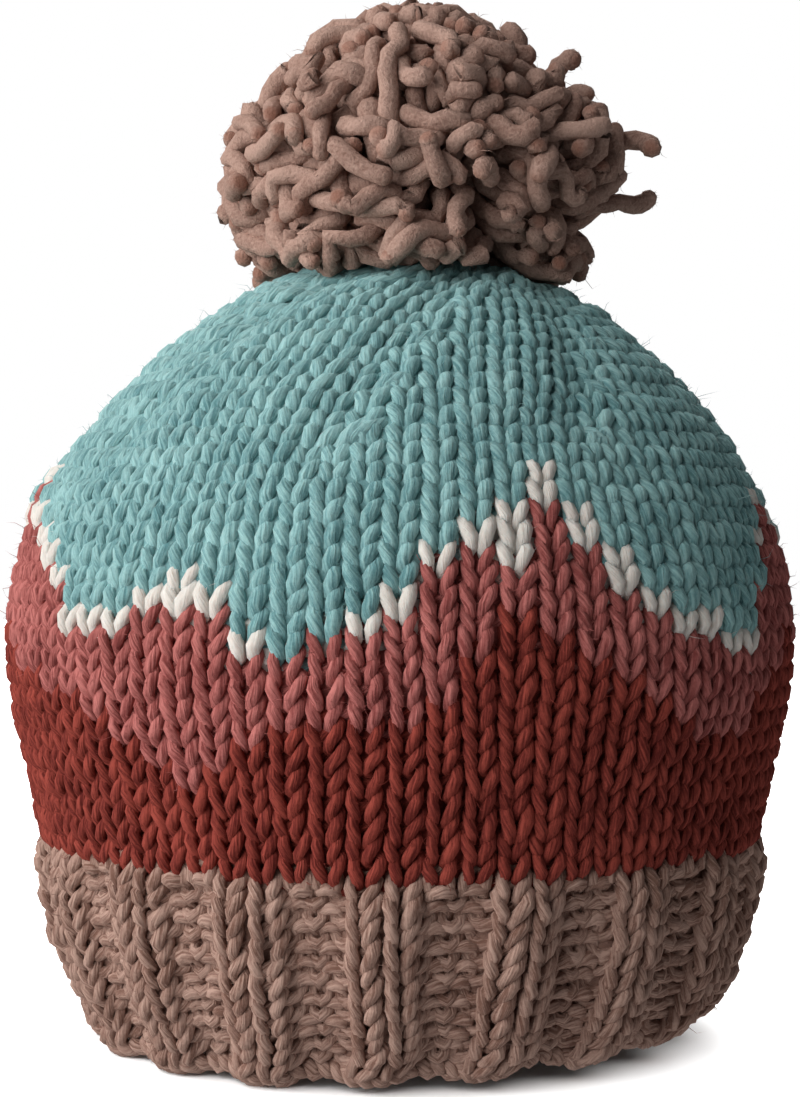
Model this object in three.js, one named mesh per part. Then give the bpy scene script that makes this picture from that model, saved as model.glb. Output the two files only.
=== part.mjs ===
// A hand-knit toque in bulky wool: a two-by-two ribbed brim, a body with a mountain range worked in four
// yarns, a crown shaped in eight wedges, and a cut-yarn pompom. Millimetres, +Z up, the front faces -Y.
// Each yarn's stretch of the fabric is a solid of its own, and the hat is open underneath for a head.
import * as THREE from "three";

// Driving dimensions
const stitchesRound = 72; // stitches in a full round of the brim and body
const rowPitch = 4.6; // height of one row, along the fabric
const wallThickness = 6; // the fabric is two strands of 3 mm yarn deep
const pieceGap = 0.75; // between neighbouring pieces, along the fabric
const brimLength = 49; // from the rim to the first body row, along the fabric
const rimFlat = 14; // the fabric turns flat onto the table over this length
const ribStitches = 4; // two knit and two purl stitches make one rib
const ribRelief = 1.5; // how far a rib stands out from, or sinks behind, the fabric's middle
const ribFade = 9; // the ribs run out into the plain body over this length
const wedges = 8; // crown wedges, parted by lines of decreases
const decreaseStart = 136; // where the decreases begin, along the fabric
const decreaseLean = 5; // stitches that a decrease line drifts sideways for each stitch's widening
const firstDecrease = -2.5; // the front decrease line's stitch, where it begins
const creaseDepth = 0.9; // how deep a decrease line sits in the crown
const creaseReach = 1.6; // half the crease's width, in stitches
const snowRows = 1; // rows of white along a level stretch of the ridge
const snowSteep = 0.35; // further rows of white for each row that the ridge climbs per stitch
const crownLean = 1.5; // the top of the crown leans this far to the right
const leanStart = 95; // the height where it begins to lean
const leanEnd = 150; // the height where it leans fully
const pompomShift = 5; // the pompom sits a little to the right of the hat's middle
const pompomSeat = 39; // radius of its underside, which lies on the crown
const pompomSeatGap = 0.75; // clearance above the crown, which the facets narrow to about 0.3
const pompomRadius = 45;
const pompomTop = 231; // height above the table

// The outer face's outline, from the rim to the top of the crown.
const outline = [
  { radius: 64.5, height: 0 },
  { radius: 73.4, height: 11 },
  { radius: 78.8, height: 25 },
  { radius: 82, height: 40 },
  { radius: 84.5, height: 58 },
  { radius: 90, height: 81 },
  { radius: 88.7, height: 104 },
  { radius: 80, height: 126 },
  { radius: 67.3, height: 144 },
  { radius: 52.7, height: 158.3 },
  { radius: 36.5, height: 169 },
  { radius: 18, height: 175.8 },
  { radius: 0, height: 178 },
];

// The snow ridge: where the rose mountains end. Stitch 0 is the front, and rows count up from the brim.
const ridge = [
  { stitch: -33, row: 17.2 },
  { stitch: -27, row: 11.4 },
  { stitch: -24, row: 13.6 },
  { stitch: -20, row: 10.9 },
  { stitch: -15, row: 17.4 },
  { stitch: -9.6, row: 10.5 },
  { stitch: -8, row: 10.6 },
  { stitch: -7, row: 11.8 },
  { stitch: -6, row: 12.2 },
  { stitch: -5, row: 11.7 },
  { stitch: -4, row: 10.1 },
  { stitch: -3, row: 9.6 },
  { stitch: -1, row: 11 },
  { stitch: 0, row: 12 },
  { stitch: 1, row: 13.3 },
  { stitch: 3.2, row: 16.9 },
  { stitch: 4.7, row: 13.6 },
  { stitch: 6.3, row: 12.6 },
  { stitch: 8.6, row: 10.8 },
  { stitch: 11.3, row: 9.4 },
  { stitch: 14, row: 17.2 },
  { stitch: 20, row: 11.2 },
  { stitch: 24, row: 13.4 },
  { stitch: 29, row: 10.4 },
];

// The foothills: where the rust band ends.
const foothills = [
  { stitch: -33, row: 10.6 },
  { stitch: -26, row: 5.6 },
  { stitch: -15, row: 10.4 },
  { stitch: -9, row: 6.9 },
  { stitch: -6, row: 4.1 },
  { stitch: -3, row: 6.5 },
  { stitch: 0, row: 6.9 },
  { stitch: 1.5, row: 8.8 },
  { stitch: 3, row: 11.7 },
  { stitch: 4.5, row: 9.9 },
  { stitch: 8, row: 7 },
  { stitch: 10.5, row: 5.2 },
  { stitch: 14, row: 10.4 },
  { stitch: 21, row: 5.4 },
  { stitch: 27, row: 7 },
];

// The outline as a smooth line, measured along the fabric from the rim.
const outlineCurve = new THREE.SplineCurve(outline.map((p) => new THREE.Vector2(p.radius, p.height)));
outlineCurve.arcLengthDivisions = 2000;
const fabricLength = outlineCurve.getLength();

// Eases from 0 at low to 1 at high.
const ease = THREE.MathUtils.smoothstep;

// A chart's row at a stitch, on straight runs between its points, which go once round the hat.
function chartRow(chart, stitch) {
  const first = chart[0].stitch;
  const at = first + THREE.MathUtils.euclideanModulo(stitch - first, stitchesRound);
  const points = [...chart, { stitch: first + stitchesRound, row: chart[0].row }];
  const next = points.findIndex((p) => p.stitch > at);
  const [a, b] = [points[next - 1], points[next]];
  return THREE.MathUtils.mapLinear(at, a.stitch, b.stitch, a.row, b.row);
}

const rowPlace = (row) => brimLength + row * rowPitch;
const foothillEdge = (stitch) => rowPlace(chartRow(foothills, stitch));
const ridgeEdge = (stitch) => rowPlace(chartRow(ridge, stitch));

// The top of the white line, which is taller where the ridge is steep.
function snowEdge(stitch) {
  const climb = Math.abs(chartRow(ridge, stitch + 0.5) - chartRow(ridge, stitch - 0.5));
  return ridgeEdge(stitch) + (snowRows + snowSteep * climb) * rowPitch;
}

// How far the fabric stands out from the outline: ribs on the brim, creases at the crown's decreases.
function relief(stitch, along) {
  const ribs = Math.cos(((stitch + 0.5) / ribStitches) * 2 * Math.PI);
  const ribHeight = ribRelief * ribs * (1 - ease(along, brimLength - ribFade, brimLength));
  const startRadius = outlineCurve.getPointAt(decreaseStart / fabricLength).x;
  const radius = Math.max(outlineCurve.getPointAt(along / fabricLength).x, 1);
  const widening = Math.max(startRadius / radius - 1, 0);
  const wedgeStitches = stitchesRound / wedges;
  const line = firstDecrease + decreaseLean * widening;
  const offset = THREE.MathUtils.euclideanModulo(stitch - line + wedgeStitches / 2, wedgeStitches);
  const nearness = Math.max(1 - Math.abs(offset - wedgeStitches / 2) / creaseReach, 0);
  const crease = creaseDepth * nearness * ease(along, decreaseStart, decreaseStart + rowPitch);
  const top = 1 - ease(along, fabricLength - 5 * rowPitch, fabricLength - 3 * rowPitch);
  return ribHeight - crease * top;
}

// A point of the fabric, a depth in from its outer face. Near the rim the depth runs level, so it is flat.
function fabricPoint(stitch, along, depth) {
  const share = THREE.MathUtils.clamp(along / fabricLength, 0, 1);
  const place = outlineCurve.getPointAt(share);
  const tangent = outlineCurve.getTangentAt(share);
  const outward = new THREE.Vector2(tangent.y, -tangent.x);
  outward.lerpVectors(new THREE.Vector2(1, 0), outward, ease(along, 0, rimFlat)).normalize();
  place.addScaledVector(outward, relief(stitch, along) - depth);
  const angle = (stitch / stitchesRound) * 2 * Math.PI;
  const lean = crownLean * ease(place.y, leanStart, leanEnd);
  return new THREE.Vector3(lean + place.x * Math.sin(angle), -place.x * Math.cos(angle), place.y);
}

// A closed surface through a list of rings. A ring of one point closes the surface there.
function ringsGeometry(rings, closed) {
  const positions = [];
  const triangle = (a, b, c) => positions.push(...a.toArray(), ...b.toArray(), ...c.toArray());
  const around = Math.max(...rings.map((ring) => ring.length));
  const last = closed ? rings.length : rings.length - 1;
  for (let i = 0; i < last; i += 1) {
    const lower = rings[i];
    const upper = rings[(i + 1) % rings.length];
    for (let j = 0; j < around; j += 1) {
      const k = (j + 1) % around;
      if (lower.length > 1) triangle(lower[j], lower[k], upper[k % upper.length]);
      if (upper.length > 1) triangle(lower[j % lower.length], upper[k], upper[j]);
    }
  }
  const geometry = new THREE.BufferGeometry();
  geometry.setAttribute("position", new THREE.Float32BufferAttribute(positions, 3));
  geometry.computeVertexNormals();
  return geometry;
}

// Wool in one dyed colour.
function wool(color) {
  return new THREE.MeshStandardMaterial({ color, roughness: 0.95, metalness: 0 });
}

// A ring of fabric between two edges, each a length along the fabric at every stitch.
function fabricRing(lowerEdge, upperEdge, rows, columns, depth) {
  const rings = [];
  for (let row = 0; row <= rows; row += 1) {
    const ring = [];
    for (let column = 0; column < columns; column += 1) {
      const stitch = (column / columns) * stitchesRound;
      const along = THREE.MathUtils.lerp(lowerEdge(stitch), upperEdge(stitch), row / rows);
      ring.push(fabricPoint(stitch, along, depth));
    }
    rings.push(ring);
  }
  return rings;
}

// A hollow wall open at both edges: the outer face upwards, then the inner face back down.
function wallMesh(name, color, lowerEdge, upperEdge, rows, columns = stitchesRound) {
  const low = (stitch) => lowerEdge(stitch) + pieceGap / 2;
  const high = (stitch) => upperEdge(stitch) - pieceGap / 2;
  const outer = fabricRing(low, high, rows, columns, 0);
  const inner = fabricRing(low, high, rows, columns, wallThickness);
  const mesh = new THREE.Mesh(ringsGeometry([...outer, ...inner.reverse()], true), wool(color));
  mesh.name = name;
  return mesh;
}

// The crown: a wall whose last stitches are drawn together at the top.
function crownMesh(name, color, lowerEdge, rows) {
  const low = (stitch) => lowerEdge(stitch) + pieceGap / 2;
  const gathered = () => fabricLength - rowPitch;
  const outer = fabricRing(low, gathered, rows, stitchesRound, 0);
  const inner = fabricRing(low, gathered, rows, stitchesRound, wallThickness);
  const outerTip = [fabricPoint(0, fabricLength, 0)];
  const innerTip = [fabricPoint(0, fabricLength, wallThickness)];
  const rings = [...outer, outerTip, innerTip, ...inner.reverse()];
  const mesh = new THREE.Mesh(ringsGeometry(rings, true), wool(color));
  mesh.name = name;
  return mesh;
}

// The crown's outer height at a distance from its axis, found by halving.
function crownHeight(distance) {
  let [low, high] = [decreaseStart / fabricLength, 1];
  for (let step = 0; step < 30; step += 1) {
    const middle = (low + high) / 2;
    if (outlineCurve.getPointAt(middle).x > distance) low = middle;
    else high = middle;
  }
  return outlineCurve.getPointAt(high).y;
}

// The pompom's outer form: its underside lies on the crown, and its round top is uneven, as cut yarn is.
function pompomMesh(name, color) {
  const around = 32;
  const seatRings = 4;
  const domeRings = 9;
  const bumps = { height: 0.035, lobes: 5, waves: 3 };
  const seat = (distance, angle) => {
    const x = pompomShift + distance * Math.sin(angle);
    const y = -distance * Math.cos(angle);
    return new THREE.Vector3(x, y, crownHeight(Math.hypot(x - crownLean, y)) + pompomSeatGap);
  };
  const ringAt = (point) => Array.from({ length: around }, (_, j) => point((j / around) * 2 * Math.PI));
  const rings = [[seat(0, 0)]];
  for (let i = 1; i <= seatRings; i += 1) {
    rings.push(ringAt((angle) => seat((pompomSeat * i) / seatRings, angle)));
  }
  const seatHeight = crownHeight(pompomSeat) + pompomSeatGap;
  const middle = THREE.MathUtils.lerp(seatHeight, pompomTop, 0.46);
  const lowest = -Math.acos(pompomSeat / pompomRadius);
  for (let i = 1; i < domeRings; i += 1) {
    const lift = THREE.MathUtils.lerp(lowest, Math.PI / 2, i / domeRings);
    const rise = lift < 0 ? (middle - seatHeight) / Math.sin(-lowest) : pompomTop - middle;
    rings.push(
      ringAt((angle) => {
        const bump = 1 + bumps.height * Math.sin(bumps.lobes * angle + i) * Math.sin(bumps.waves * lift);
        const distance = pompomRadius * Math.cos(lift) * bump;
        const height = middle + rise * Math.sin(lift);
        const x = pompomShift + distance * Math.sin(angle);
        return new THREE.Vector3(x, -distance * Math.cos(angle), height);
      }),
    );
  }
  rings.push([new THREE.Vector3(pompomShift, 0, pompomTop)]);
  const mesh = new THREE.Mesh(ringsGeometry(rings, false), wool(color));
  mesh.name = name;
  return mesh;
}

const yarn = { taupe: 0x8b7163, rust: 0x7d352b, rose: 0xa35a55, white: 0xe0d9d0, teal: 0x7fb0b1 };
const rim = () => -pieceGap / 2;
const brimTop = () => brimLength;

const toque = new THREE.Group();
toque.add(
  wallMesh("ribbed_brim", yarn.taupe, rim, brimTop, 4, 2 * stitchesRound),
  wallMesh("rust_band", yarn.rust, brimTop, foothillEdge, 3),
  wallMesh("rose_mountains", yarn.rose, foothillEdge, ridgeEdge, 2),
  wallMesh("snow_ridge", yarn.white, ridgeEdge, snowEdge, 1),
  crownMesh("teal_crown", yarn.teal, snowEdge, 9),
  pompomMesh("pompom", yarn.taupe),
);

export default toque;
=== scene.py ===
import math

import bmesh
import bpy
import numpy as np
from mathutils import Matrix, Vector
from mathutils.bvhtree import BVHTree
from mathutils.kdtree import KDTree


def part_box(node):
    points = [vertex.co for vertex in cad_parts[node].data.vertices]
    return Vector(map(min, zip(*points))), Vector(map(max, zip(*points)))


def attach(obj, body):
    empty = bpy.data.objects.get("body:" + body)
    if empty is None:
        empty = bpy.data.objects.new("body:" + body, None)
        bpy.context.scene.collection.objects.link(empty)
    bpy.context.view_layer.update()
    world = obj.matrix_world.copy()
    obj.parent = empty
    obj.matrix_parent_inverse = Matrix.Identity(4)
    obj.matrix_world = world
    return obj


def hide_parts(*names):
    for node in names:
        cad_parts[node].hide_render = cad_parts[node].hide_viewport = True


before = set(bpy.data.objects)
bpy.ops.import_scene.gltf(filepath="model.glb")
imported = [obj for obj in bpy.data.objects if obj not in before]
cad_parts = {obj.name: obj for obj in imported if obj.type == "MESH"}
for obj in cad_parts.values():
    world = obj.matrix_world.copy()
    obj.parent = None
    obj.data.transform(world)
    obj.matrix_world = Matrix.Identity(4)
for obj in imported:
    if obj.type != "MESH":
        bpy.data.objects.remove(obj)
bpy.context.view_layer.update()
chance = np.random.default_rng(72)
print("frame loaded:", ", ".join(sorted(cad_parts)))

# how the hat is knitted: metres and degrees, stitch 0 at the front, rows counted up from the brim
fabric = {
    "stitchesRound": 72,
    "rowPitch": 0.0046,
    "wall": 0.006,
    "rimFlat": 0.014,
    "brimRows": 11,
    "brimRowPitch": 0.0043,
    "bodyRows": 19,
    "wedges": 9,
    "decreaseLine": -12.5,  # where the front line of decreases begins
    "decreaseLean": 5.0,  # its drift for each degree that a stitch widens
    "creaseDepth": 0.0015,
    "creaseFades": (0.03, 0.015),  # distances from the top
    "snowGaps": (-3, -2, 12),  # columns where the sky comes straight down to the rock
    # columns with more than one white stitch: the first one's row, and how many
    "snowStacks": {-6: (12, 2), 3: (14, 3), 4: (17, 2), 5: (15, 2), 6: (13, 2)},
    "lean": 0.0015,  # the crown leans to the right, from one height to another
    "leanHeights": (0.095, 0.150),
    "sway": 0.8,  # degrees that columns wander
}

# where the fabric is drawn aside by the strands behind the mountains, puffs out, and lifts at the rim
drawn = {"turn": 41, "spread": 21, "degrees": -7.5, "rises": (0.010, 0.050), "fades": (0.085, 0.150)}
puff = {"turn": -88, "spread": 30, "along": 0.081, "reach": 0.011, "height": 0.0022}
rimLift = {"turn": 110, "height": 0.0050, "reach": 0.030, "aside": -0.0040, "asideReach": 0.012, "lowest": 0.0021}

# one stitch's loop, in stitch widths across, rows up and metres out
loop = {
    "steps": 14,
    "sides": 6,
    "curl": 0.21,
    "rise": 0.97,
    "depth": 0.0015,
    "wander": 0.00034,
    "lumps": 0.05,
    "fuller": 0.14,  # thicker at the back of the fabric
    "bent": 0.26,  # thinner where it is bent
}

# what each yarn is like: its finish, thickness, how flat it lies, the slant of its stitches,
# how deep it is felted together, and its short and long stray fibres
yarns = {
    "ribbed_brim": {
        "slot": "taupe_yarn", "radius": 0.00126, "broad": 1.12, "slant": 0.09, "felt": 0.0006, "fuzz": (9000, 600),
    },
    "rust_band": {
        "slot": "rust_yarn", "radius": 0.00122, "broad": 1.10, "slant": 0.06, "felt": 0.0006, "fuzz": (9000, 600),
    },
    "rose_mountains": {
        "slot": "rose_yarn", "radius": 0.00124, "broad": 1.10, "slant": 0.05, "felt": 0.0006, "fuzz": (8000, 500),
    },
    "snow_ridge": {
        "slot": "white_yarn", "radius": 0.00138, "broad": 1.15, "slant": 0.02, "felt": 0.0002, "fuzz": (900, 60),
    },
    "teal_crown": {
        "slot": "teal_yarn", "radius": 0.00140, "broad": 1.24, "slant": 0.03, "felt": -0.0010, "fuzz": (20000, 900),
    },
}


def ease(low, high, value):
    share = np.clip((value - low) / (high - low), 0, 1)
    return share * share * (3 - 2 * share)


def unit(vectors):
    return vectors / np.linalg.norm(vectors, axis=-1, keepdims=True)


# the walls of the frame, to read the outline from and to see whose stitch is whose
def wallTree():
    points, faces, owners = [], [], []
    for name in yarns:
        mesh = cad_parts[name].data
        faces += [[len(points) + i for i in face.vertices] for face in mesh.polygons]
        owners += [name] * len(mesh.polygons)
        points += [corner.co.copy() for corner in mesh.vertices]
    return BVHTree.FromPolygons(points, faces), owners


def measureOutline(tree):
    middle = Vector((0, 0, 0.09))
    outline = []
    for tilt in np.radians(np.linspace(-54, 89.5, 300)):
        found = []
        for turn in np.radians(np.arange(0, 360, 15)):
            ray = Vector((math.sin(turn) * math.cos(tilt), -math.cos(turn) * math.cos(tilt), math.sin(tilt)))
            hit = tree.ray_cast(middle + ray * 0.3, -ray, 0.25)[0]
            if hit:
                found.append((math.hypot(hit.x, hit.y), hit.z))
        if len(found) > 12:
            outline.append(np.mean(found, axis=0))
    outline = np.array(outline)
    start = outline[0] - (outline[1] - outline[0]) * outline[0, 1] / (outline[1, 1] - outline[0, 1])
    outline = np.vstack([start, outline, [0, outline[-1, 1]]])
    return outline


# the fabric's middle surface as radius and height by the distance along it from the rim
def fabricLine(outline):
    step = 0.00025
    along = np.concatenate([[0], np.cumsum(np.hypot(*np.diff(outline, axis=0).T))])
    places = np.arange(0, along[-1], step)
    reach = int(0.012 / step)
    weights = np.exp(-0.5 * (np.arange(-reach, reach + 1) * step / 0.004) ** 2)
    smooth = []
    for values, endKind in zip(outline.T, ("odd", "even")):
        values = np.interp(places, along, values)
        padded = np.pad(values, (reach, 0), "reflect", reflect_type="odd")
        padded = np.pad(padded, (0, reach), "reflect", reflect_type=endKind)
        smooth.append(np.convolve(padded, weights / weights.sum(), "valid"))
    radius, height = smooth
    tangent = unit(np.stack([np.gradient(radius), np.gradient(height)], -1))
    outward = np.stack([tangent[:, 1], -tangent[:, 0]], -1)
    level = ease(0, fabric["rimFlat"], places)[:, None]
    outward = unit(outward * level + np.array([1, 0]) * (1 - level))
    half = fabric["wall"] / 2
    return {
        "along": places,
        "radius": radius - outward[:, 0] * half,
        "height": height - outward[:, 1] * half,
        "outwardRadius": outward[:, 0],
        "outwardHeight": outward[:, 1],
        "faceRadius": radius,
        "faceHeight": height,
    }


def readLine(column, along):
    return np.interp(along, line["along"], line[column])


# points on the fabric, and the way out of it there
def onFabric(angle, along, out):
    radius = readLine("radius", along) + readLine("outwardRadius", along) * out
    height = readLine("height", along) + readLine("outwardHeight", along) * out
    lean = fabric["lean"] * ease(*fabric["leanHeights"], height)
    lean = lean + rimLift["aside"] * (1 - ease(0, rimLift["asideReach"], along))
    return np.stack([lean + radius * np.sin(angle), -radius * np.cos(angle), height], -1)


def outOfFabric(angle, along):
    level, up = readLine("outwardRadius", along), readLine("outwardHeight", along)
    return np.stack([level * np.sin(angle), -level * np.cos(angle), up], -1)


tree, owners = wallTree()
line = fabricLine(measureOutline(tree))
length = line["along"][-1]
seam = (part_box("ribbed_brim")[1].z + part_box("rust_band")[0].z) / 2
brimTop = np.interp(seam, line["faceHeight"], line["along"])
print(f"outline read: {length * 1000:.0f} mm of fabric from rim to top, brim {brimTop * 1000:.0f} mm")


def decreaseAngle(step):
    return fabric["decreaseLine"] + fabric["decreaseLean"] * (step - 360 / fabric["stitchesRound"])


# how far a column is drawn aside, in radians
def drawnAside(angle, along):
    near = np.exp(-(((np.degrees(angle) - drawn["turn"]) / drawn["spread"]) ** 2))
    level = ease(*drawn["rises"], along - brimTop) * (1 - ease(*drawn["fades"], along - brimTop))
    return math.radians(drawn["degrees"]) * near * level


# every row's stitches: their angles, which way they lean, knit or purl, and their yarn
def planRows():
    rows = []
    wedges, whole = fabric["wedges"], fabric["stitchesRound"] // fabric["wedges"]
    bodyTop = brimTop + fabric["bodyRows"] * fabric["rowPitch"]
    width = 2 * math.pi * readLine("faceRadius", bodyTop) / (wedges * whole)
    inWedge, number = whole, -fabric["brimRows"]
    while True:
        pitch = fabric["brimRowPitch"] if number < 0 else fabric["rowPitch"]
        along = brimTop + (number + 0.5) * pitch
        if along > length - 0.004:
            break
        room = whole  # how many whole stitches a wedge has room for
        if number >= fabric["bodyRows"]:
            room = 2 * math.pi * readLine("faceRadius", along) / (wedges * width)
            inWedge = min(inWedge, max(inWedge - 1, round(room), 1))
            room = min(max(room, inWedge - 0.45), inWedge + 0.45)
        step = 360 / wedges / room
        edges = np.append(np.arange(inWedge), room) * step  # from the right of the wedge to its left
        middles, widths = (edges[:-1] + edges[1:]) / 2, np.diff(edges)
        starts = decreaseAngle(step) - np.arange(wedges)[:, None] * 360 / wedges
        rows.append({
            "number": number, "along": along, "pitch": pitch, "inWedge": inWedge, "count": inWedge * wedges,
            "angles": (starts - middles).ravel()[::-1], "step": np.tile(widths, wedges)[::-1],
        })
        number += 1
    for row, above in zip(rows, rows[1:] + [rows[-1]]):
        wedge, fromRight = np.divmod(np.arange(row["count"])[::-1], row["inWedge"])
        kept = np.minimum(fromRight, above["inWedge"] - 1)
        target = above["angles"][above["count"] - 1 - (wedge * above["inWedge"] + kept)]
        row["lean"] = np.radians(target - row["angles"])
    for row in rows:
        row["angles"], row["step"] = np.radians(row["angles"]), np.radians(row["step"])
        column = np.round(row["angles"] / math.radians(360 / fabric["stitchesRound"])).astype(int)
        isRib = row["number"] < 0
        row["face"] = np.where(isRib & np.isin(column % 4, (1, 2)), -1.0, 1.0)
        row["headFace"] = row["face"] if row["number"] != -1 else np.ones(row["count"])
        aside = drawnAside(row["angles"], row["along"])
        middles = onFabric(row["angles"] + aside, np.full(row["count"], row["along"]), 0)
        row["yarn"] = [owners[tree.find_nearest(Vector(place))[2]] for place in middles]
        row["column"] = (column + 36) % 72 - 36
    return rows


# snow lies one stitch deep along the ridge, and deeper on its steepest steps
def settleSnow(rows):
    body = [row for row in rows if 0 <= row["number"] and row["count"] == fabric["stitchesRound"]]
    for i, column in enumerate(body[0]["column"]):
        band = [n for n, row in enumerate(body) if row["yarn"][i] == "snow_ridge"]
        if not band:
            continue
        deep = 0 if column in fabric["snowGaps"] else 1
        first = math.ceil((band[0] + band[-1] - deep) / 2)
        first, deep = fabric["snowStacks"].get(int(column), (first, deep))
        for n in range(min(band[0], first), max(band[-1], first + deep - 1) + 1):
            above = "snow_ridge" if n < first + deep else "teal_crown"
            body[n]["yarn"][i] = "rose_mountains" if n < first else above


rows = planRows()
settleSnow(rows)
print(f"{len(rows)} rows planned, {sum(row['count'] for row in rows)} stitches")

ribs = {"relief": 0.0020, "gather": 0.10, "fade": 0.006, "scallop": 0.0013, "purlSlant": 0.03}


# where an angle lies in its rib: 0 in the middle of the knit stitches
def ribPhase(angle):
    return (np.degrees(angle) / 5 + 0.5) / 4 * 2 * math.pi


# the rim rises a little between the ribs, and to one side
def rimRise(angle, along):
    between = ribs["scallop"] * (0.5 - 0.5 * np.cos(ribPhase(angle))) * (1 - ease(0, 0.02, along))
    side = rimLift["height"] * (0.5 + 0.5 * np.cos(angle - math.radians(rimLift["turn"])))
    return between + side * (1 - ease(0, rimLift["reach"], along))


# ribs on the brim, creases along the crown's decreases, and the puff on one side
def relief(angle, along):
    rib = np.clip(1.5 * np.cos(ribPhase(angle)), -1, 1)
    rib = ribs["relief"] * rib * (1 - ease(brimTop - ribs["fade"], brimTop, along))
    start = brimTop + fabric["bodyRows"] * fabric["rowPitch"]
    step = 5 * readLine("faceRadius", start) / np.maximum(readLine("faceRadius", along), 0.004)
    wedge = 360 / fabric["wedges"]
    fromLine = (np.degrees(angle) - decreaseAngle(step) + wedge / 2) % wedge - wedge / 2
    near = np.maximum(1 - np.abs(fromLine) / (1.3 * step), 0)
    far, close = fabric["creaseFades"]
    crease = fabric["creaseDepth"] * near * ease(start, start + 0.008, along)
    crease = crease * (1 - ease(length - far, length - close, along))
    aside = (np.degrees(angle) - puff["turn"] + 180) % 360 - 180
    above = along - brimTop - puff["along"]
    swell = np.exp(-((aside / puff["spread"]) ** 2) - (above / puff["reach"]) ** 2)
    return rib - crease + puff["height"] * swell


# a value for each stitch, easing to the mean of two neighbours where they join
def alongRow(values, times, start=0.0):
    towards = np.where(times > 0, np.roll(values, -1)[:, None], np.roll(values, 1)[:, None])
    share = ease(start * math.pi, math.pi, np.abs(times)) * 0.5
    return values[:, None] * (1 - share) + towards * share


# one row's yarn, all the way round
def rowYarn(row):
    count, times = row["count"], np.linspace(-math.pi, math.pi, loop["steps"], endpoint=False)[None, :]
    wander = lambda amount: alongRow(chance.normal(0, amount, count), times)
    slant = np.array([yarns[name]["slant"] for name in row["yarn"]])
    slant = alongRow(np.where(row["face"] < 0, ribs["purlSlant"], slant), times) + wander(0.04)
    rise = loop["rise"] * row["pitch"] * (1 + wander(0.08))
    feet, head = alongRow(row["face"], times, 0.55), alongRow(row["headFace"], times, 0.55)
    face = feet + (head - feet) * ease(-0.6, 0.6, np.cos(times))
    across = (loop["curl"] + wander(0.025)) * np.sin(2 * times) + slant * np.cos(times) + wander(0.04)
    across = row["step"][:, None] * times / (2 * math.pi) + alongRow(row["step"], times) * across
    up = rise * np.cos(times) + wander(loop["wander"])
    lean = alongRow(row["lean"], times)
    angle = row["angles"][:, None] + across + lean * (up + rise) / row["pitch"]
    along = row["along"] + up
    sway = np.sin(along * 62 + 2 * np.sin(3 * angle)) * np.cos(4 * angle + 1 + along * 25)
    angle = angle + math.radians(fabric["sway"]) * sway
    angle = angle + drawnAside(angle, along)
    if row["number"] < 0:
        angle = angle + row["step"][:, None] * ribs["gather"] * np.sin(ribPhase(angle))
        along = along + rimRise(angle, along)
    out = -face * loop["depth"] * np.cos(2 * times) + relief(angle, along) + wander(loop["wander"])
    front = -face * np.cos(2 * times)
    thick = np.array([yarns[name]["radius"] for name in row["yarn"]])[:, None] * (1 + wander(0.08))
    thick = thick * (1 + loop["fuller"] * (1 - front) - loop["bent"] * (1 - np.abs(np.cos(2 * times))))
    tone = alongRow(chance.uniform(0, 1, count), times)
    flat = lambda values: np.broadcast_to(values, (count, loop["steps"])).ravel()
    angle, along, out = flat(angle), np.clip(flat(along), rimLift["lowest"], length - 0.0005), flat(out)
    return {
        "points": onFabric(angle, along, out),
        "out": outOfFabric(angle, along),
        "thick": flat(thick),
        "tone": flat(tone),
    }


# the row's yarn cut into runs of one colour
def runsOf(row):
    yarn, names = rowYarn(row), row["yarn"]
    count, steps = row["count"], loop["steps"]
    changes = [i for i in range(count) if names[i] != names[i - 1]]
    if not changes:
        return [(names[0], {**yarn, "closed": True})]
    runs = []
    for first, after in zip(changes, changes[1:] + [changes[0] + count]):
        pick = np.arange(first * steps, after * steps + 1) % (count * steps)
        runs.append((names[first], {**{key: values[pick] for key, values in yarn.items()}, "closed": False}))
    return runs


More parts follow.
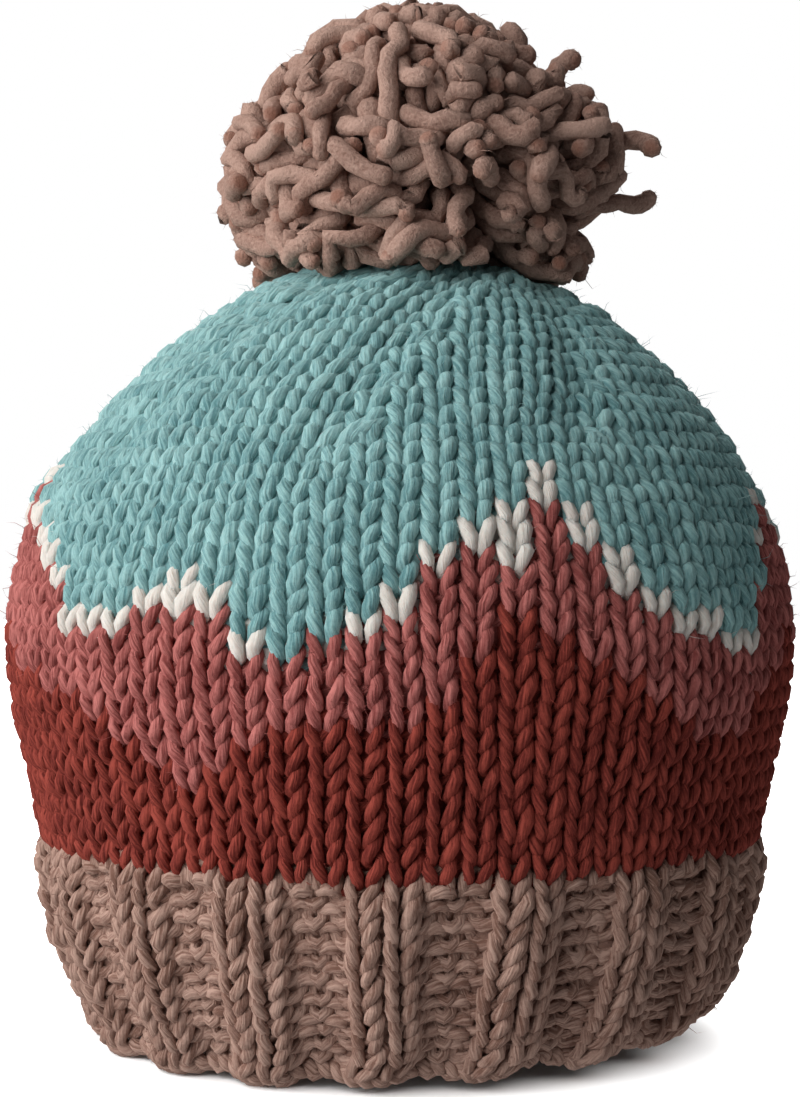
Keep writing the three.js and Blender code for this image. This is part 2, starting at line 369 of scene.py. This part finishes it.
# strands swept into closed tubes and joined in one mesh, with the yarn's own length and turn as its map
def yarnMesh(name, strands, sides, broad=1.0):
    ring = np.arange(sides) / sides * 2 * math.pi
    corners, quads, quadMap, caps, capMap, tones, tips, offset = [], [], [], [], [], [], [], 0
    for strand in strands:
        points, count, closed = strand["points"], len(strand["points"]), strand["closed"]
        tangent = np.roll(points, -1, 0) - np.roll(points, 1, 0) if closed else np.gradient(points, axis=0)
        tangent = unit(tangent)
        side = unit(np.cross(tangent, strand["out"]))
        lift = np.cross(side, tangent)
        outward, across = np.cos(ring)[None, :, None], broad * np.sin(ring)[None, :, None]
        spread = outward * lift[:, None] + across * side[:, None]
        lumps = 1 + loop["lumps"] * chance.uniform(-1, 1, (count, sides, 1))
        corners.append((points[:, None] + strand["thick"][:, None, None] * lumps * spread).reshape(-1, 3))
        tones.append(np.repeat(strand["tone"], sides))
        tips.append(np.repeat(strand.get("tip", np.zeros(count)), sides))
        ends = np.vstack([points, points[:1]]) if closed else points
        travel = np.concatenate([[0], np.cumsum(np.linalg.norm(np.diff(ends, axis=0), axis=1))])
        travel = travel + chance.uniform(0, 3)
        m, j = np.meshgrid(np.arange(count if closed else count - 1), np.arange(sides), indexing="ij")
        m, j = m.ravel(), j.ravel()
        after, beside = (m + 1) % count, (j + 1) % sides
        here, there = m * sides, after * sides
        quads.append(offset + np.stack([here + j, here + beside, there + beside, there + j], -1))
        turn = np.stack([j, j + 1, j + 1, j], -1) / sides
        reached = np.stack([travel[m], travel[m], travel[m + 1], travel[m + 1]], -1)
        quadMap.append(np.stack([reached, turn], -1))
        if not closed:
            first, last = np.arange(sides)[::-1], (count - 1) * sides + np.arange(sides)
            caps.append(offset + np.stack([first, last]))
            around = np.arange(sides) / sides
            start = np.stack([np.full(sides, travel[0]), around[::-1]], -1)
            end = np.stack([np.full(sides, travel[-1]), around], -1)
            capMap.append(np.stack([start, end]))
        offset += count * sides
    faces = [np.concatenate(quads)] + ([np.concatenate(caps)] if caps else [])
    maps = [np.concatenate(quadMap)] + ([np.concatenate(capMap)] if caps else [])
    return meshPiece(name, np.concatenate(corners), faces, maps, np.concatenate(tones), np.concatenate(tips))


def meshPiece(name, corners, faces, maps, tones, tips):
    mesh = bpy.data.meshes.new(name)
    mesh.vertices.add(len(corners))
    mesh.vertices.foreach_set("co", corners.astype(np.float32).ravel())
    sizes = np.concatenate([np.full(len(group), group.shape[1]) for group in faces])
    mesh.loops.add(int(sizes.sum()))
    order = np.concatenate([group.ravel() for group in faces])
    mesh.loops.foreach_set("vertex_index", order.astype(np.int32))
    mesh.polygons.add(len(sizes))
    mesh.polygons.foreach_set("loop_start", (np.cumsum(sizes) - sizes).astype(np.int32))
    yarnMap = mesh.uv_layers.new(name="yarn")
    yarnMap.data.foreach_set("uv", np.concatenate([group.ravel() for group in maps]).astype(np.float32))
    for label, values in (("tone", tones), ("tip", tips)):
        mesh.attributes.new(label, "FLOAT", "POINT").data.foreach_set("value", values.astype(np.float32))
    mesh.update(calc_edges=True)
    mesh.shade_smooth()
    piece = bpy.data.objects.new(name, mesh)
    bpy.context.scene.collection.objects.link(piece)
    return piece


strandsOf = {name: [] for name in yarns}
strandsOf["crown_top"] = []
for row in rows:
    for name, strand in runsOf(row):
        upper = name == "teal_crown" and row["number"] > fabric["bodyRows"] + 3
        strandsOf["crown_top" if upper else name].append(strand)

# the cast-on edge: two strands twisted round each other along the rim
castOn = {"along": 0.0027, "twist": 0.0010, "radius": 0.00135, "steps": 10}


def castOnStrand(phase):
    count = fabric["stitchesRound"] * castOn["steps"]
    share = np.arange(count) / castOn["steps"]
    turn = share * 2 * math.pi + phase
    angle = share * math.radians(5)
    along = castOn["along"] + castOn["twist"] * np.cos(turn)
    along = along + rimRise(angle, along)
    out = castOn["twist"] * np.sin(turn) + relief(angle, along) * 0.8
    return {
        "points": onFabric(angle, along, out),
        "out": outOfFabric(angle, along),
        "thick": np.full(count, castOn["radius"]),
        "tone": np.full(count, 0.5),
        "closed": True,
    }


strandsOf["ribbed_brim"] += [castOnStrand(0), castOnStrand(math.pi)]

# fibres felted together behind the stitches close the gaps between the yarns: a thin sheet in each colour, its tone
# of 0.4 a little under the stitches' mean of 0.5 as painted shade in the gaps
felt = {"thickness": 0.0004, "tone": 0.4}


def feltSheets():
    around = fabric["stitchesRound"]
    brimLevels = np.linspace(0.005, brimTop, fabric["brimRows"] + 1)
    bodyLevels = np.arange(brimTop + fabric["rowPitch"], length - 0.002, fabric["rowPitch"])
    levels = np.concatenate([brimLevels, bodyLevels])
    angle, along = np.meshgrid(np.radians(5) * (np.arange(around) + 0.5), levels)
    along = along + rimRise(angle, along)
    out = relief(angle, along)
    middles = onFabric(angle[:-1] - math.radians(2.5), (along[:-1] + along[1:]) / 2, 0)
    kinds = np.array([[owners[tree.find_nearest(Vector(place))[2]] for place in level] for level in middles])
    sheets, behind = {}, angle.size
    for name in yarns:
        depths = [felt["thickness"] * side - yarns[name]["felt"] for side in (0.5, -0.5)]
        corners = np.concatenate([onFabric(angle, along, out + depth).reshape(-1, 3) for depth in depths])
        mine, quads = kinds == name, []
        for level, column in zip(*np.nonzero(mine)):
            before = (column - 1) % around
            low, high = level * around, (level + 1) * around
            ring = [low + before, low + column, high + column, high + before]
            quads += [ring, [i + behind for i in ring[::-1]]]
            after = (column + 1) % around
            beside = ((level - 1, column), (level, after), (level + 1, column), (level, before))
            for first, second, (r, c) in zip(ring, ring[1:] + ring[:1], beside):
                if not (0 <= r < len(mine) and mine[r, c]):
                    quads.append([second, first, first + behind, second + behind])
        used, faces = np.unique(quads, return_inverse=True)
        faces = [faces.reshape(-1, 4)]
        maps, plain = [np.full((len(quads), 4, 2), 0.25)], np.zeros(len(used))
        sheets[name] = meshPiece(name + "_felt", corners[used], faces, maps, plain + felt["tone"], plain)
    return sheets


def triangleCount(piece):
    return sum(len(face.vertices) - 2 for face in piece.data.polygons)


felted = feltSheets()
knitted = {}
for name, strands in strandsOf.items():
    look = yarns.get(name, yarns["teal_crown"])
    knitted[name] = yarnMesh(name + "_knit", strands, loop["sides"], look["broad"])
print("knitted:", {name: triangleCount(piece) for name, piece in knitted.items()})

# the pompom: cut strands from a tied middle, curled and pressed over on the left, standing out on the right
pompom = {
    "slot": "taupe_yarn",
    "strands": 400,
    "filling": 90,
    "radius": 0.00208,
    "rings": 18,
    "sides": 8,
    "core": 0.68,
    "rootShare": 0.40,
    "reach": (0.86, 1.03),
    "fillingReach": (0.74, 0.88),
    "bendLeft": 0.46,
    "bendRight": 0.24,
    "curl": 0.0024,
    "curlLength": 0.0125,
    "shoulders": 0.11,  # flatter at the upper corners and the lower right one
    "settle": 20,
    "fuzz": (15000, 600),
}

# ends that stick out of it: turn from the front, tilt, and reach past the form
looseEnds = [
    {"turn": 90, "tilt": 2, "reach": 1.18},
    {"turn": 90, "tilt": -12, "reach": 1.18},
    {"turn": 88, "tilt": -24, "reach": 1.02},
    {"turn": 90, "tilt": 33, "reach": 1.14},
    {"turn": 90, "tilt": 48, "reach": 1.20},
    {"turn": 90, "tilt": 82, "reach": 0.98},
    {"turn": -90, "tilt": 64, "reach": 1.10},
    {"turn": -90, "tilt": 72, "reach": 1.05},
    {"turn": -90, "tilt": 81, "reach": 1.0},
    {"turn": -90, "tilt": -28, "reach": 0.98},
    {"turn": 150, "tilt": 10, "reach": 1.12},
    {"turn": -140, "tilt": 30, "reach": 1.10},
    {"turn": 175, "tilt": 45, "reach": 1.08},
]


def nodeTree(name):
    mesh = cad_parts[name].data
    points = [corner.co.copy() for corner in mesh.vertices]
    return BVHTree.FromPolygons(points, [list(face.vertices) for face in mesh.polygons])


pompomForm = nodeTree("pompom")
pompomLow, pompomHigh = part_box("pompom")
pompomMiddle = np.array((pompomLow + pompomHigh) / 2)


def formReach(way):
    return pompomForm.ray_cast(Vector(pompomMiddle), Vector(way))[3] or 0.03


# a strand that leaves the middle one way, bends over and curls
def strandPath(way, bend, reach):
    share = np.linspace(0, 1, pompom["rings"])
    drift = unit(np.cross(way, unit(chance.normal(0, 1, 3) * np.array([1, 1, 2]))))
    sideways = np.cross(way, drift)
    turned = bend * ease(0.45, 1.0, share)
    ways = np.cos(turned)[:, None] * way + np.sin(turned)[:, None] * drift
    right, up = ways[:, 0], ways[:, 2]
    shoulders = ease(0.1, 0.45, np.abs(right) * up) + ease(0.1, 0.35, -right * up) * (right > 0)
    reaches = np.array([formReach(w) for w in ways]) * (1 - pompom["shoulders"] * shoulders)
    outward = pompom["rootShare"] + (reach - pompom["rootShare"]) * (1 - (1 - share) ** 2)
    path = ways * (reaches * outward)[:, None]
    travel = np.concatenate([[0], np.cumsum(np.linalg.norm(np.diff(path, axis=0), axis=1))])
    curlLength = pompom["curlLength"] * chance.uniform(0.8, 1.3)
    wave = travel / curlLength * 2 * math.pi + chance.uniform(0, 2 * math.pi)
    curl = pompom["curl"] * ease(0.1, 0.5, share) * chance.uniform(0.4, 1.3)
    path = path + (curl * np.sin(wave))[:, None] * sideways + (0.6 * curl * np.cos(wave))[:, None] * ways
    return path + pompomMiddle


def pompomPaths():
    paths = []
    for amount, reach in ((pompom["filling"], pompom["fillingReach"]), (pompom["strands"], pompom["reach"])):
        count = int(amount * 1.16)
        for i in range(count):
            height = 1 - 2 * (i + 0.5) / count
            if height < -0.72:
                continue
            turn = i * math.pi * (3 - math.sqrt(5)) + chance.normal(0, 0.06)
            level = math.sqrt(1 - height * height)
            way = np.array([level * math.cos(turn), level * math.sin(turn), height])
            bend = pompom["bendRight"] + (pompom["bendLeft"] - pompom["bendRight"]) * ease(-0.3, 0.5, -way[0])
            paths.append(strandPath(way, abs(chance.normal(bend, 0.12)), chance.uniform(*reach)))
    for end in looseEnds:
        turn, tilt = math.radians(end["turn"]), math.radians(end["tilt"])
        way = np.array([math.sin(turn) * math.cos(tilt), -math.cos(turn) * math.cos(tilt), math.sin(tilt)])
        paths.append(strandPath(way, 0.15, end["reach"]))
    return np.array(paths)


# strands that lie in each other are pushed apart; each keeps its length, and stays in the pompom's form
def settleStrands(paths):
    lengths = np.linalg.norm(np.diff(paths, axis=1), axis=2)
    rings, apart = paths.shape[1], 2 * pompom["radius"] * 0.92
    for turn in range(pompom["settle"]):
        flat = paths.reshape(-1, 3)
        finder = KDTree(len(flat))
        for i, place in enumerate(flat):
            finder.insert(place, i)
        finder.balance()
        push = np.zeros_like(flat)
        for i, place in enumerate(flat):
            if i % rings < 2:
                continue
            for other, j, distance in finder.find_range(place, apart):
                if j // rings != i // rings:
                    push[i] += (place - np.array(other)) / max(distance, 1e-5) * (apart - distance) * 0.5
        paths = paths + np.clip(push.reshape(paths.shape), -0.0012, 0.0012) * 0.7
        middle = paths[:, 1:-1] * 0.95 + (paths[:, :-2] + paths[:, 2:]) * 0.025
        paths = np.concatenate([paths[:, :1], middle, paths[:, -1:]], 1)
        for ring in range(1, rings):
            step = unit(paths[:, ring] - paths[:, ring - 1]) * lengths[:, ring - 1 : ring]
            paths[:, ring] = paths[:, ring] * 0.3 + (paths[:, ring - 1] + step) * 0.7
        if turn % 4 == 3:
            for strand in paths[: -len(looseEnds)]:
                for ring in range(3, rings):
                    away = strand[ring] - pompomMiddle
                    far = np.linalg.norm(away)
                    strand[ring] = pompomMiddle + away / far * min(far, formReach(away / far) * 1.03)
    return paths


def pompomStrands():
    strands = []
    for path in settleStrands(pompomPaths()):
        tangent = unit(path[-1] - path[-2])
        thickness = pompom["radius"] * chance.uniform(0.88, 1.12)
        rounded = [path[-1] + tangent * thickness * share for share in (0.4, 0.65)]
        points = np.vstack([path, *rounded])
        thick = thickness * (1 + chance.normal(0, 0.07, len(points)))
        thick[-2:] = thickness * np.array([0.82, 0.5])
        tip = np.zeros(len(points))
        tip[-3:] = 0.2, 0.6, 1
        across = unit(np.cross(unit(chance.normal(0, 1, 3)), path[-1] - path[0]))
        # each strand's tone is random and sits 0.5 above the knitted yarn's, so the same taupe yarn is painted
        # lighter: painted light against the shade between the strands
        strands.append({
            "points": points, "out": np.tile(across, (len(points), 1)), "thick": thick, "tip": tip,
            "tone": np.full(len(points), chance.uniform(0.5, 1.5)), "closed": False,
        })
    return strands


# the tied middle, where all the strands are packed together; its tone of 0.2, darker than the strands, is painted
# shade deep inside the pompom
def pompomCore():
    rings = 14
    tilts = np.linspace(-1.5, 1.5, rings)
    ways = np.stack([np.zeros(rings), np.zeros(rings), np.sin(tilts)], -1)
    size = (np.array(pompomHigh) - np.array(pompomLow)) / 2 * pompom["core"]
    return {
        "points": pompomMiddle + ways * size[2], "out": np.tile([1.0, 0, 0], (rings, 1)),
        "thick": np.cos(tilts) * size[0], "tone": np.full(rings, 0.2), "closed": False,
    }


knitted["pompom"] = yarnMesh("pompom_strands", pompomStrands() + [pompomCore()], pompom["sides"])
matted = knitted["pompom"].data.attributes.new("matted", "FLOAT", "POINT")  # its cut yarn has worn to felt
matted.data.foreach_set("value", np.ones(len(knitted["pompom"].data.vertices), np.float32))
print("pompom tied:", len(knitted["pompom"].data.polygons), "faces")

# stray fibres: short straight spikes and longer bent ones that stand out of the yarn
fibre = {"thickness": 0.00007, "short": (0.0008, 0.0024), "long": (0.0025, 0.0070), "spread": 0.8}


def fuzzOf(name, source, amounts, middle):
    mesh = source.data
    corners, normals = np.zeros(len(mesh.vertices) * 3), np.zeros(len(mesh.vertices) * 3)
    mesh.vertices.foreach_get("co", corners)
    mesh.vertex_normals.foreach_get("vector", normals)
    corners, normals = corners.reshape(-1, 3), normals.reshape(-1, 3)
    facing = np.einsum("ij,ij->i", normals, unit(corners - np.array(middle)))
    fit = np.flatnonzero((facing > 0.2) & (corners[:, 2] > 0.006))
    pick = chance.choice(fit, sum(amounts))
    isLong = np.arange(len(pick)) >= amounts[0]
    root, way = corners[pick] - normals[pick] * 0.0003, normals[pick]
    way = unit(way + chance.normal(0, fibre["spread"] * 0.7, way.shape))
    later = unit(way + chance.normal(0, fibre["spread"], way.shape))
    low = np.where(isLong, fibre["long"][0], fibre["short"][0])
    high = np.where(isLong, fibre["long"][1], fibre["short"][1])
    reach = (low + (high - low) * chance.beta(1.2, 2.5, len(pick)))[:, None]
    side = unit(np.cross(way, unit(chance.normal(0, 1, way.shape))))
    ring = np.array([0, 1, 2]) * 2 * math.pi / 3
    lift, turn = np.cross(way, side)[:, None], ring[None, :, None]
    spread = fibre["thickness"] * (np.cos(turn) * side[:, None] + np.sin(turn) * lift)
    knee = root + way * reach * 0.5
    tip = knee + later * reach * 0.5
    short = np.concatenate([root[:, None] + spread, tip[:, None]], 1)[~isLong]
    bent = np.concatenate([root[:, None] + spread, knee[:, None] + spread * 0.8, tip[:, None]], 1)[isLong]
    points = np.concatenate([short.reshape(-1, 3), bent.reshape(-1, 3)])
    points[:, 2] = np.maximum(points[:, 2], 0.0002)
    base, kneeBase = np.arange(len(short))[:, None] * 4, len(short) * 4 + np.arange(len(bent))[:, None] * 7
    bottom = np.array([2, 1, 0])
    tris = [base + np.array([j, (j + 1) % 3, 3]) for j in range(3)] + [base + bottom]
    tris += [kneeBase + np.array([3 + j, 3 + (j + 1) % 3, 6]) for j in range(3)] + [kneeBase + bottom]
    quads = [kneeBase + np.array([j, (j + 1) % 3, 3 + (j + 1) % 3, 3 + j]) for j in range(3)]
    faces = [np.concatenate(quads), np.concatenate(tris)]
    maps = [np.full((*group.shape, 2), 0.25) for group in faces]
    return meshPiece(name, points, faces, maps, np.full(len(points), 0.75), np.zeros(len(points)))


fuzz = {}
for name, piece in knitted.items():
    look = yarns.get(name, pompom if name == "pompom" else yarns["teal_crown"])
    amounts = [n // 2 for n in look["fuzz"]] if name in ("crown_top", "teal_crown") else look["fuzz"]
    fuzz[name] = fuzzOf(name + "_fuzz", piece, amounts, pompomMiddle if name == "pompom" else (0, 0, 0.085))
pieces = [piece for group in (felted, knitted, fuzz) for piece in group.values()]
triangles = {piece.name: triangleCount(piece) for piece in pieces}
print("fuzz raised; triangles:", triangles, "in all", sum(triangles.values()))


# shader maths as sums on sockets
class Value:
    def __init__(self, graph, socket):
        self.graph, self.socket = graph, socket

    def math(self, operation, other=None, flipped=False):
        pair = (other, self) if flipped else (self, other)
        return self.graph.make("ShaderNodeMath", {"operation": operation}, dict(enumerate(pair)))

    def __add__(self, other): return self.math("ADD", other)
    def __radd__(self, other): return self.math("ADD", other)
    def __sub__(self, other): return self.math("SUBTRACT", other)
    def __rsub__(self, other): return self.math("SUBTRACT", other, True)
    def __mul__(self, other): return self.math("MULTIPLY", other)
    def __rmul__(self, other): return self.math("MULTIPLY", other)


class Graph:
    def __init__(self, tree):
        self.tree = tree
        tree.nodes.clear()

    # any node: its type, its settings, then the values or links of its sockets
    def make(self, kind, settings=None, sockets=None, output=0):
        node = self.tree.nodes.new(kind)
        for key, value in (settings or {}).items():
            setattr(node, key, value)
        for key, value in (sockets or {}).items():
            if isinstance(value, Value):
                self.tree.links.new(value.socket, node.inputs[key])
            elif value is not None:
                node.inputs[key].default_value = value
        return Value(self, node.outputs[output]) if len(node.outputs) else node

    def mix(self, share, low, high):
        return self.make("ShaderNodeMix", {"data_type": "RGBA"}, {0: share, 6: low, 7: high}, 2)


def linear(red, green, blue):
    bend = lambda c: c / 12.92 if c <= 0.04045 else ((c + 0.055) / 1.055) ** 2.4
    return (bend(red / 255), bend(green / 255), bend(blue / 255), 1)


# each wool's dye, from its shadowed fibres to its bright ones, the cut ends' middle, how streaky it is,
# its sheen, and how much light goes through it
dyes = {
    "taupe_yarn": {
        "deep": (112, 80, 68), "bright": (178, 146, 132), "core": (134, 84, 65),
        "streak": 0.95, "sheen": 0.9, "soft": 0.0,
    },
    "rust_yarn": {
        "deep": (88, 29, 25), "bright": (150, 67, 56), "core": (112, 38, 30),
        "streak": 0.95, "sheen": 0.6, "soft": 0.0,
    },
    "rose_yarn": {
        "deep": (122, 59, 56), "bright": (185, 112, 106), "core": (150, 74, 68),
        "streak": 0.95, "sheen": 0.7, "soft": 0.0,
    },
    "white_yarn": {
        "deep": (198, 191, 183), "bright": (222, 216, 208), "core": (184, 177, 169),
        "streak": 0.5, "sheen": 0.5, "soft": 0.5,
    },
    "teal_yarn": {
        "deep": (84, 125, 128), "bright": (148, 186, 185), "core": (104, 158, 160),
        "streak": 0.8, "sheen": 0.9, "soft": 0.4,
    },
}


def wool(slot):
    dye = dyes[slot]
    material = bpy.data.materials.new(slot)
    material.use_nodes = True
    graph = Graph(material.node_tree)
    place = graph.make("ShaderNodeUVMap", {"uv_map": "yarn"})
    travel = graph.make("ShaderNodeSeparateXYZ", None, {0: place}, 0)
    turn = graph.make("ShaderNodeSeparateXYZ", None, {0: place}, 1)
    tone = graph.make("ShaderNodeAttribute", {"attribute_name": "tone"}, None, 2)
    tip = graph.make("ShaderNodeAttribute", {"attribute_name": "tip"}, None, 2)
    matted = graph.make("ShaderNodeAttribute", {"attribute_name": "matted"}, None, 2)
    swirl = turn * (2 * math.pi) + travel * 300  # the fibres wind round the yarn
    helix = graph.make("ShaderNodeCombineXYZ", None, {
        0: travel * 130, 1: swirl.math("COSINE") * 1.6, 2: swirl.math("SINE") * 1.6,
    })
    fibres = graph.make("ShaderNodeTexNoise", None, {
        "Vector": helix, "Scale": 1.5, "Detail": 3.0, "Roughness": 0.6,
    })
    spot = graph.make("ShaderNodeTexCoord", None, None, 3)
    cloudy = graph.make("ShaderNodeTexNoise", None, {"Vector": spot, "Scale": 90.0, "Detail": 2.0})
    fuzzy = graph.make("ShaderNodeTexNoise", None, {
        "Vector": spot, "Scale": 1300.0, "Detail": 3.0, "Roughness": 0.7,
    })
    drawnOut = 1 - matted * 0.75
    share = (fibres - 0.5) * drawnOut * (dye["streak"] * 3.8) + (fuzzy - 0.5) * (0.9 + matted)
    share = share + (cloudy - 0.5) * 0.8 + (tone - 0.5) * 0.45 + 0.5
    share = graph.make("ShaderNodeClamp", None, {0: share})
    colour = graph.mix(share, linear(*dye["deep"]), linear(*dye["bright"]))
    colour = graph.mix(tip * 0.6, colour, linear(*dye["core"]))
    height = fibres * drawnOut * 0.8 + fuzzy * (0.25 + matted * 0.9)
    bump = graph.make("ShaderNodeBump", None, {"Strength": 0.8, "Distance": 0.0008, "Height": height})
    shader = graph.make("ShaderNodeBsdfPrincipled", None, {
        "Base Color": colour, "Roughness": 0.92, "Specular IOR Level": 0.15, "Normal": bump,
        "Subsurface Weight": dye["soft"], "Subsurface Radius": (1.2, 0.9, 0.8), "Subsurface Scale": 0.0014,
        "Sheen Weight": dye["sheen"], "Sheen Roughness": 0.55, "Sheen Tint": linear(*dye["bright"]),
    })
    graph.make("ShaderNodeOutputMaterial", None, {"Surface": shader})
    return material


wools = {slot: wool(slot) for slot in dyes}
for group in (felted, knitted, fuzz):
    for name, piece in group.items():
        node = "teal_crown" if name == "crown_top" else name
        slot = (pompom if name == "pompom" else yarns[node])["slot"]
        piece.data.materials.append(wools[slot])
        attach(piece, "root")
        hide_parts(node)
print("wool dyed")

# camera: level, at the height of the hat's middle
camera = {"distance": 0.515, "height": 0.1096, "lens": 73.5}
lens = bpy.data.cameras.new("camera")
lens.lens, lens.sensor_width = camera["lens"], 36
viewer = bpy.data.objects.new("camera", lens)
viewer.location = (0, -camera["distance"], camera["height"])
viewer.rotation_euler = (math.pi / 2, 0, 0)
bpy.context.scene.collection.objects.link(viewer)
bpy.context.scene.camera = viewer

# studio: a big soft light from the left, weak ones off the floor and from behind, a dim room and a pale floor
studio = {"room": 0.102, "floorRadius": 3.0}
lights = {
    "key": {"turn": -55, "tilt": 20, "distance": 0.9, "size": 1.35, "power": 16.5, "aim": (0, 0, 0.11)},
    "bounce": {"turn": 60, "tilt": -55, "distance": 0.9, "size": 1.35, "power": 2.5, "aim": (0, 0, 0.06)},
    "back": {"turn": 180, "tilt": 25, "distance": 0.9, "size": 0.7, "power": 9, "aim": (0, 0, 0.11)},
}
floorLight = {"turn": 0, "tilt": 90, "distance": 3.0, "size": 12, "power": 1100, "aim": (0, 0, 0)}


def softLight(name, turn, tilt, distance, size, power, aim):
    data = bpy.data.lights.new(name, "AREA")
    data.shape, data.size, data.energy = "DISK", size, power
    lamp = bpy.data.objects.new(name, data)
    turn, tilt = math.radians(turn), math.radians(tilt)
    way = Vector((math.sin(turn) * math.cos(tilt), -math.cos(turn) * math.cos(tilt), math.sin(tilt)))
    lamp.location = Vector(aim) + way * distance
    lamp.rotation_euler = way.to_track_quat("Z", "Y").to_euler()
    bpy.context.scene.collection.objects.link(lamp)
    return lamp


for name, light in lights.items():
    softLight(name, **light)

shape = bmesh.new()
bmesh.ops.create_circle(shape, cap_ends=True, segments=96, radius=studio["floorRadius"])
floorMesh = bpy.data.meshes.new("floor")
shape.to_mesh(floorMesh)
shape.free()
floor = bpy.data.objects.new("floor", floorMesh)
bpy.context.scene.collection.objects.link(floor)
floor.visible_diffuse = floor.visible_glossy = floor.visible_transmission = floor.visible_shadow = False
paper = bpy.data.materials.new("paper")
paper.use_nodes = True
graph = Graph(paper.node_tree)
behind = graph.make("ShaderNodeNewGeometry", None, None, 6)
matte = graph.make("ShaderNodeBsdfDiffuse", None, {"Color": (0.9, 0.9, 0.9, 1)})
clear = graph.make("ShaderNodeBsdfTransparent")
both = graph.make("ShaderNodeMixShader", None, {0: behind, 1: matte, 2: clear})
graph.make("ShaderNodeOutputMaterial", None, {"Surface": both})
floorMesh.materials.append(paper)

# a wide light that falls on the floor alone, so that the paper stays white
overhead = softLight("overhead", **floorLight)
overhead.visible_camera = False
onlyFloor = bpy.data.collections.new("only_floor")
onlyFloor.objects.link(floor)
overhead.light_linking.receiver_collection = onlyFloor

room = bpy.data.worlds.new("room")
bpy.context.scene.world = room
room.use_nodes = True
graph = Graph(room.node_tree)
seen = graph.make("ShaderNodeLightPath", None, None, 0)
way = graph.make("ShaderNodeTexCoord", None, None, 0)
up = graph.make("ShaderNodeSeparateXYZ", None, {0: way}, 2)
glow = (1.1 - up * 0.9) * studio["room"]  # light comes back off the floor
dim = graph.make("ShaderNodeBackground", None, {0: (0.95, 0.97, 1.0, 1), 1: glow})
white = graph.make("ShaderNodeBackground", None, {0: (1, 1, 1, 1), 1: 1.0})
both = graph.make("ShaderNodeMixShader", None, {0: seen, 1: dim, 2: white})
graph.make("ShaderNodeOutputWorld", None, {0: both})
bpy.context.scene.view_settings.view_transform = "Standard"
print("studio lit")
